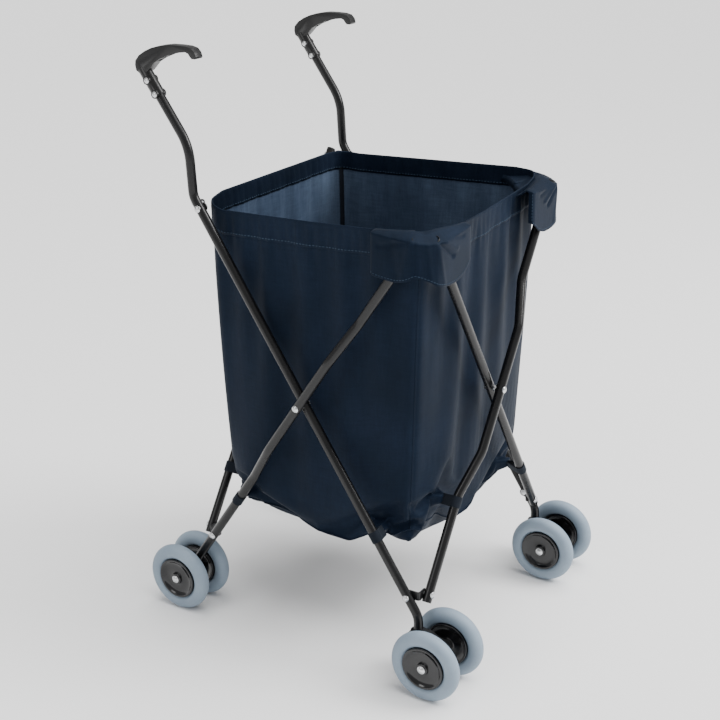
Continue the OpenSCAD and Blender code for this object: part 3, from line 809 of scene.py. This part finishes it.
for side, (k, body, axis) in SIDES.items():
    columns = np.arange(k * 2 * ACROSS, (k + 1) * 2 * ACROSS + 1) % (2 * AROUND)
    grid = walls[:, columns]
    n = wall_normals[:, columns]
    wall = sheet("bag_" + side + "_wall", grid, n, 0.0, -CLOTH, NAVY, LINING)
    on_bag(wall, side, "bag_" + side)
    # the hem: turned over the rim outside and in, down to a stitched edge
    lift = 0.9 * MM
    rows = [grid[HEM_ROWS] + n[HEM_ROWS] * 0.05 * MM]
    rows += [grid[i] + n[i] * lift for i in range(HEM_ROWS, -1, -1)]
    half = lift + CLOTH / 2
    for turn in (30, 60, 90, 120, 150):
        a = math.radians(turn)
        rows.append(grid[0] + n[0] * (half * math.cos(a) - CLOTH / 2) + (0, 0, half * 1.1 * math.sin(a)))
    inside_rows = HEM_ROWS - 2
    rows += [grid[i] - n[i] * (CLOTH + lift) for i in range(inside_rows + 1)]
    rows.append(grid[inside_rows] - n[inside_rows] * (CLOTH + 0.05 * MM))
    on_bag(band("bag_" + side + "_hem", rows, NAVY), side)
    row = HEM_ROWS - 1
    on_bag(stitches("bag_" + side + "_hem_stitch", grid[row] + n[row] * lift, n[row]), side)
    row = inside_rows - 1
    on_bag(stitches("bag_" + side + "_hem_stitch_in", grid[row] - n[row] * (CLOTH + lift), -n[row]), side)
    # a welt where the wall is sewn to the floor
    foot = grid[-1]
    foot_n = n[-1]
    ring_rows = []
    for turn in range(0, 361, 45):
        a = math.radians(turn)
        ring_rows.append(foot + foot_n * (1.4 * MM * math.cos(a)) + (0, 0, 1.4 * MM * math.sin(a)))
    on_bag(band("bag_" + side + "_welt", ring_rows, NAVY), side)

# bindings over the seam in each inner corner
for corner, side in enumerate(("front", "right", "rear", "left")):
    columns = (corner * 2 * ACROSS + np.arange(-1, 2)) % (2 * AROUND)
    grid = walls[HEM_ROWS - 3:, columns]
    strip = sheet("bag_" + side + "_binding", grid, wall_normals[HEM_ROWS - 3:, columns],
                  -CLOTH - 0.2 * MM, -CLOTH - 1.9 * MM, BINDING, BINDING)
    on_bag(strip, side)

floor = sheet("bag_floor", floor_grid, normals(floor_grid), 0.0, -CLOTH, LINING, NAVY)
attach(floor, "base")
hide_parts("bag_base")
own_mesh(floor)

# ---- corner pockets ----


def smoothed(values, width):
    """A row of points evened out along itself, with its ends kept."""
    out = np.array(values, float)
    for _ in range(width):
        out[1:-1] = (out[:-2] + 2 * out[1:-1] + out[2:]) / 4
    return out


def ridge(p, a, b, width):
    """1 on the line from a to b, fading over width to each side and past its ends."""
    a, b = np.array(a), np.array(b)
    d = b - a
    t = np.clip(((p - a) @ d) / (d @ d), 0, 1)
    off = np.linalg.norm(p - a - t[..., None] * d, axis=-1)
    return np.exp(-(off / width) ** 2)


FACE_OUT = 0.2412     # the pocket's face, just outside the rivet heads
RIDGE_OUT = 0.228     # its top ridge, over the middle of the tubes
SEAM_OUT = 0.2074     # where it is sewn along the bag's rim
MOUTH = 0.354         # |x| + |y| of the straight cut across the corner
POCKET_COLUMNS = 160
PLAN_SMOOTHING = 14
# plan of its face: turned edge, side face, corner, front face, turned edge
PLAN = [
    (-0.232, -0.1345), (-0.2395, -0.1345), (-FACE_OUT, -0.139), (-FACE_OUT, -0.2125),
    (-0.2125, -FACE_OUT), (-0.119, -FACE_OUT), (-0.1135, -0.2395), (-0.1135, -0.232),
]
# heights against the place along that plan
LOWER_EDGE = [
    (0, 0.7135), (1, 0.7125), (1.6, 0.711), (2.15, 0.7065), (2.55, 0.7035), (2.85, 0.709), (3, 0.7175),
    (3.2, 0.715), (3.6, 0.708), (4, 0.699), (4.3, 0.6935), (4.6, 0.694), (4.85, 0.702), (5, 0.713),
    (6, 0.718), (7, 0.719),
]
CREASE = [
    (0, 0.7745), (1, 0.7755), (2, 0.7745), (2.5, 0.7715), (3, 0.7685), (3.5, 0.7665), (4, 0.766),
    (4.3, 0.7655), (4.7, 0.769), (5, 0.7725), (6, 0.772), (7, 0.771),
]
RIDGE = [
    (0, 0.7765), (1, 0.7775), (2, 0.779), (2.8, 0.7812), (3.5, 0.7795), (4.1, 0.7812), (4.5, 0.779),
    (5, 0.776), (6, 0.7745), (7, 0.774),
]
POCKET_RIM = [(0, 0.7725), (2.4, 0.770), (3.5, 0.7665), (4.3, 0.764), (7, 0.7605)]


def pocket(name, body, mirror):
    """A gathered pocket over a front corner's bracket and tube ends."""
    t = np.linspace(0, 7, POCKET_COLUMNS)

    def heights(table, width=4):
        return smoothed(np.interp(t, *zip(*table)), width)

    low, crease, ridge_z, rim = [heights(k) for k in (LOWER_EDGE, CREASE, RIDGE, POCKET_RIM)]
    plan = np.column_stack([np.interp(t, range(8), [p[k] for p in PLAN]) for k in range(2)])
    face_xy = smoothed(plan, PLAN_SMOOTHING)
    rim_xy = np.clip(face_xy, -SEAM_OUT, 0)
    # the opening is cut straight across the corner
    rim_xy += np.clip(-MOUTH - rim_xy.sum(axis=1), 0, None)[:, None] / 2
    rim_xy = smoothed(rim_xy, PLAN_SMOOTHING)
    share = (RIDGE_OUT - SEAM_OUT) / (FACE_OUT - SEAM_OUT)
    ridge_xy = rim_xy + (face_xy - rim_xy) * share
    rows = []
    inward = rim_xy / np.linalg.norm(rim_xy, axis=1, keepdims=True)
    rows.append(np.column_stack([rim_xy - inward * 3.6 * MM, rim - 0.012]))
    rows.append(np.column_stack([rim_xy - inward * 2.4 * MM, rim + 0.8 * MM]))
    for f in (0.0, 0.25, 0.5, 0.75, 1.0):
        slack = 1.6 * MM * math.sin(math.pi * f)
        rows.append(np.column_stack([rim_xy + (ridge_xy - rim_xy) * f, rim + (ridge_z - rim) * f - slack]))
    for f in (0.3, 0.6, 0.85):
        rise = 0.8 * MM * math.sin(math.pi * f)
        over = ridge_xy + (face_xy - ridge_xy) * f
        rows.append(np.column_stack([over, ridge_z + (crease - ridge_z) * f + rise]))
    steps = 36
    for i in range(steps + 1):
        f = i / steps
        # the face hangs in between the two tubes, and flares a little at its open edge
        hollow = (1 - 0.0035 * math.sin(math.pi * f) * np.exp(-((t - 3.5) / 0.45) ** 2))[:, None]
        flare = 1 + 0.004 * f ** 3
        rows.append(np.column_stack([face_xy * hollow * flare, crease + (low - crease) * f]))
    grid = np.array(rows)
    n = normals(grid)
    n *= 1.0 if n[25, 40, 0] < 0 else -1.0
    # creases drawn from the corner, and cloth gathered over each tube
    folds = [
        # from, to, width, height
        ((-0.2125, -FACE_OUT, 0.768), (-0.172, -FACE_OUT, 0.738), 3.2, -3.2),
        ((-0.203, -FACE_OUT, 0.769), (-0.160, -FACE_OUT, 0.747), 3.6, 2.4),
        ((-0.190, -FACE_OUT, 0.771), (-0.140, -FACE_OUT, 0.762), 3.2, -1.9),
        ((-FACE_OUT, -0.2125, 0.770), (-FACE_OUT, -0.2125, 0.722), 2.6, -2.2),
        ((-FACE_OUT, -0.204, 0.768), (-FACE_OUT, -0.192, 0.712), 6.0, 1.3),
        ((-FACE_OUT, -0.200, 0.770), (-FACE_OUT, -0.150, 0.757), 4.5, -2.0),
        ((-FACE_OUT, -0.170, 0.772), (-FACE_OUT, -0.178, 0.720), 7.0, -1.2),
        ((-0.227, -0.227, 0.762), (-0.222, -0.232, 0.712), 4.5, 1.6),
        ((-0.2125, -FACE_OUT, 0.757), (-0.200, -FACE_OUT, 0.702), 4.0, 1.4),
    ]
    amount = sum(height * MM * ridge(grid, a, b, width * MM) for a, b, width, height in folds)
    amount[:3] = 0
    grid = grid + n * amount[..., None]
    flip = np.array([-1.0 if mirror else 1.0, 1.0, 1.0])
    lines = {
        "_side_seam": (grid[10:-2, 18], n[10:-2, 18]),
        "_front_seam": (grid[10:-2, -22], n[10:-2, -22]),
        "_lower_stitch": (grid[-3, 22:-24], n[-3, 22:-24]),
    }
    pieces = []
    for label, (line, up_from) in lines.items():
        lifted = (line + up_from * 0.7 * MM) * flip
        pieces.append(stitches(name + label, lifted, up_from * flip, 3.6 * MM, 1.8 * MM, 0.35 * MM))
    grid = grid * flip
    n = n * flip
    if mirror:
        grid = grid[:, ::-1]
        n = n[:, ::-1]
    cloth = sheet(name + "_cloth", grid, n, 0.7 * MM, -0.7 * MM, NAVY, NAVY)
    pieces.append(crisp(cloth, 120))
    for piece in pieces:
        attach(piece, body)
        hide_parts(name)
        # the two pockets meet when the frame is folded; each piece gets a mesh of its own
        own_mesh(piece)


pocket("pocket_fl", "top_fl", False)
pocket("pocket_fr", "top_fr", True)

# ---- webbing loops that tie the bag to the tubes ----


def loop(name, side, way, z, body, wall_at):
    """A band of webbing round a crossed tube, with both ends sewn to the bag."""
    s = (CROSS_Z - z) / math.cos(LEAN)
    centre = on_tube(side, way, s)
    d = (on_tube(side, way, s + 0.01) - centre).normalized()
    out = OUT[side]
    across = d.cross(out).normalized()
    r = TUBE_R + 1.0 * MM
    reach = PLANE - wall_at
    section = []
    for k in range(25):
        a = math.radians(-125 + 250 * k / 24)
        section.append((r * math.cos(a), r * math.sin(a)))
    section = [(-reach, -1.4 * MM)] + section + [(-reach, 1.4 * MM)]
    line = np.array(section)
    steps = np.linalg.norm(np.diff(line, axis=0, prepend=line[:1]), axis=1).cumsum()
    fine = np.linspace(0, steps[-1], 60)
    line = smoothed(np.column_stack([np.interp(fine, steps, line[:, k]) for k in range(2)]), 3)
    rows = []
    for w in np.linspace(-9.5 * MM, 9.5 * MM, 8):
        fray = 0.15 * MM * math.sin(w * 2100)
        rows.append([centre + out * x + across * (y * (1 + fray * 40)) + d * w for x, y in line])
    grid = np.array(rows)
    n = normals(grid)
    away = 1.0 if Vector(n[3, 30]).dot(out) > 0 else -1.0
    strap = sheet(name, grid, n * away, 0.75 * MM, -0.75 * MM, BINDING, BINDING)
    crisp(strap, 70)
    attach(strap, body)


loop("loop_left_handle", "left", -1, 0.248, "left_handle_tube", 0.2025)
loop("loop_left_axle", "left", 1, 0.242, "left_axle_tube", 0.2025)
loop("loop_right_handle", "right", -1, 0.248, "right_handle_tube", 0.2025)
loop("loop_right_axle", "right", 1, 0.242, "right_axle_tube", 0.2025)
loop("loop_front_left", "front", -1, 0.286, "front_tube_fr", 0.2025)
loop("loop_front_right", "front", 1, 0.245, "front_tube_fl", 0.2015)
loop("loop_rear_left", "rear", -1, 0.245, "rear_tube_rr", 0.2015)
loop("loop_rear_right", "rear", 1, 0.286, "rear_tube_rl", 0.2025)

# ---- smaller parts: the solids, with their edges eased ----


def eased(node, material, width, body):
    """A copy of a node with its sharp edges rounded, riding the same body."""
    source = frame["nodes"][node]
    mesh = source.data.copy()
    mesh.transform(source.matrix_world)
    b = bmesh.new()
    b.from_mesh(mesh)
    bmesh.ops.remove_doubles(b, verts=b.verts, dist=0.01 * MM)
    bmesh.ops.dissolve_limit(b, angle_limit=math.radians(0.8), verts=b.verts, edges=b.edges)
    b.to_mesh(mesh)
    b.free()
    mesh.materials.clear()
    mesh.materials.append(material)
    obj = bpy.data.objects.new(node + "_eased", mesh)
    bpy.context.scene.collection.objects.link(obj)
    bevel = obj.modifiers.new("ease", "BEVEL")
    bevel.width = width
    bevel.segments = 3
    bevel.limit_method = "ANGLE"
    bevel.angle_limit = math.radians(38)
    shown = obj.evaluated_get(bpy.context.evaluated_depsgraph_get())
    obj.data = bpy.data.meshes.new_from_object(shown)
    obj.modifiers.clear()
    obj.data.polygons.foreach_set("use_smooth", [True] * len(obj.data.polygons))
    crisp(obj, 42)
    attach(obj, body)
    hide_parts(node)


body_of = {node: obj["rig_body"] for node, obj in frame["nodes"].items()}
EASED = {
    "grip": ("grip", GRIP, 2.2 * MM), "collar": ("moulding", MOULD, 0.6 * MM),
    "caster": ("moulding", MOULD, 1.0 * MM), "bracket": ("bracket", MOULD, 0.5 * MM),
    "axle": ("rivet", STEEL, 0.4 * MM), "rivets": ("rivet", STEEL, 0.25 * MM),
}
for node in list(frame["nodes"]):
    kind = node.split("_")[0]
    if kind in EASED:
        slot, material, width = EASED[kind]
        eased(node, material, width, body_of[node])

# ---- stage, camera and light ----

CAMERA_AT = Vector((-1.9369, -1.1714, 1.3608))
CAMERA_AZ = math.radians(-58.12)
CAMERA_EL = math.radians(21.75)
right = Vector((math.cos(CAMERA_AZ), math.sin(CAMERA_AZ), 0))
level = math.cos(CAMERA_EL)
back = Vector((math.sin(CAMERA_AZ) * level, -math.cos(CAMERA_AZ) * level, math.sin(CAMERA_EL)))
up = back.cross(right)
camera_data = bpy.data.cameras.new("camera")
camera_data.lens = 68.1
camera_data.sensor_width = 36
camera = bpy.data.objects.new("camera", camera_data)
bpy.context.scene.collection.objects.link(camera)
camera.matrix_world = Matrix((
    (right.x, up.x, back.x, CAMERA_AT.x),
    (right.y, up.y, back.y, CAMERA_AT.y),
    (right.z, up.z, back.z, CAMERA_AT.z),
    (0, 0, 0, 1)))
bpy.context.scene.camera = camera

FLOOR = Nodes("studio_floor")
FLOOR.shader.inputs["Base Color"].default_value = (0.92, 0.92, 0.92, 1)
FLOOR.shader.inputs["Roughness"].default_value = 0.85
STUDIO = 25.0  # half width of the floor
floor_corners = [(-STUDIO, -STUDIO, 0), (STUDIO, -STUDIO, 0), (STUDIO, STUDIO, 0), (-STUDIO, STUDIO, 0)]
floor_plane = new_mesh("studio_floor", floor_corners, [(0, 1, 2, 3)], [FLOOR.mat], False)

world = bpy.data.worlds.new("studio")
bpy.context.scene.world = world
world.use_nodes = True
world.node_tree.nodes["Background"].inputs["Color"].default_value = (1.0, 1.0, 1.0, 1)
world.node_tree.nodes["Background"].inputs["Strength"].default_value = 0.5


def area_light(name, place, aim, size, power):
    """A square soft light at place, facing aim."""
    data = bpy.data.lights.new(name, "AREA")
    data.size = size
    data.energy = power
    light = bpy.data.objects.new(name, data)
    bpy.context.scene.collection.objects.link(light)
    light.location = place
    light.rotation_euler = (Vector(aim) - Vector(place)).to_track_quat("-Z", "Y").to_euler()


area_light("key", (1.4, -2.8, 2.6), (0, 0, 0.45), 1.6, 110)
sun = bpy.data.lights.new("overhead", "SUN")
sun.energy = 4.0
sun.angle = math.radians(60)
overhead = bpy.data.objects.new("overhead", sun)
bpy.context.scene.collection.objects.link(overhead)
overhead.rotation_euler = Vector((-0.25, 0.5, -2.0)).to_track_quat("-Z", "Y").to_euler()
area_light("edge", (-2.6, 0.9, 1.9), (0, 0, 0.5), 1.0, 14)

bpy.context.view_layer.update()
